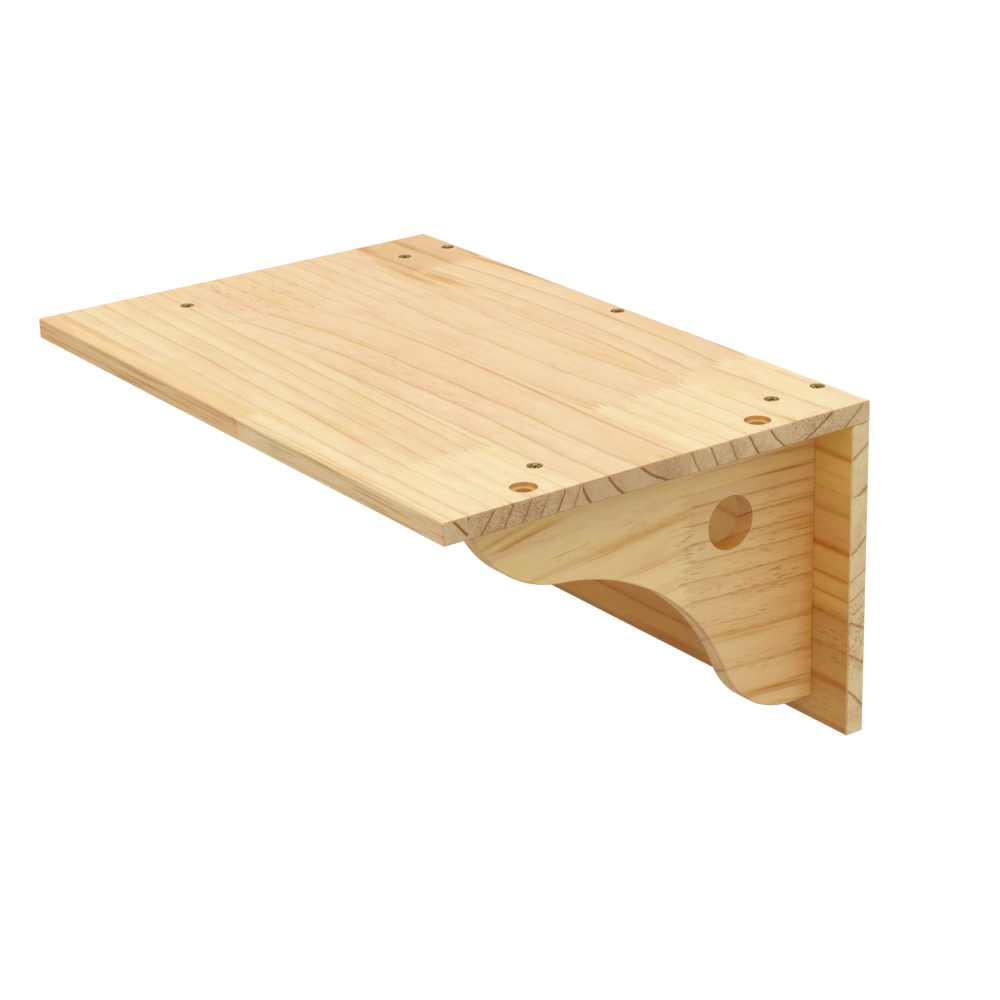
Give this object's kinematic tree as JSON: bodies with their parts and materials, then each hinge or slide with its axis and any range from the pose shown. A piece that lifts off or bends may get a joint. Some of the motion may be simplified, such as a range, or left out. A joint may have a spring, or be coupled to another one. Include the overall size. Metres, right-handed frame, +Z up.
{
  "type": "cat wall shelf",
  "caption": "Pine wall shelf for a cat: flat top board screwed to an upright back panel and two ogee brackets with round holes.",
  "frame": {"origin": "middle of the back panel's wall face, on the wall", "axes": "+X along the shelf to the right seen from the room, +Y into the wall, +Z up"},
  "size_m": [0.38, 0.25, 0.176],
  "materials": {
    "pine_top": "sanded, unvarnished",
    "pine_panel": "sanded, unvarnished",
    "pine_bracket": "sanded, unvarnished",
    "screw_steel": "yellow zinc plated, satin"
  },
  "bodies": {
    "root": {"top_board": "pine_top", "back_panel": "pine_panel", "left_bracket": "pine_bracket", "right_bracket": "pine_bracket", "panel_screw_left": "screw_steel", "panel_screw_middle": "screw_steel", "panel_screw_right": "screw_steel", "left_bracket_front_screw": "screw_steel", "left_bracket_rear_screw": "screw_steel", "right_bracket_front_screw": "screw_steel", "right_bracket_rear_screw": "screw_steel", "left_bracket_back_screw_upper": "screw_steel", "left_bracket_back_screw_lower": "screw_steel", "right_bracket_back_screw_upper": "screw_steel", "right_bracket_back_screw_lower": "screw_steel"}
  },
  "joints": []
}
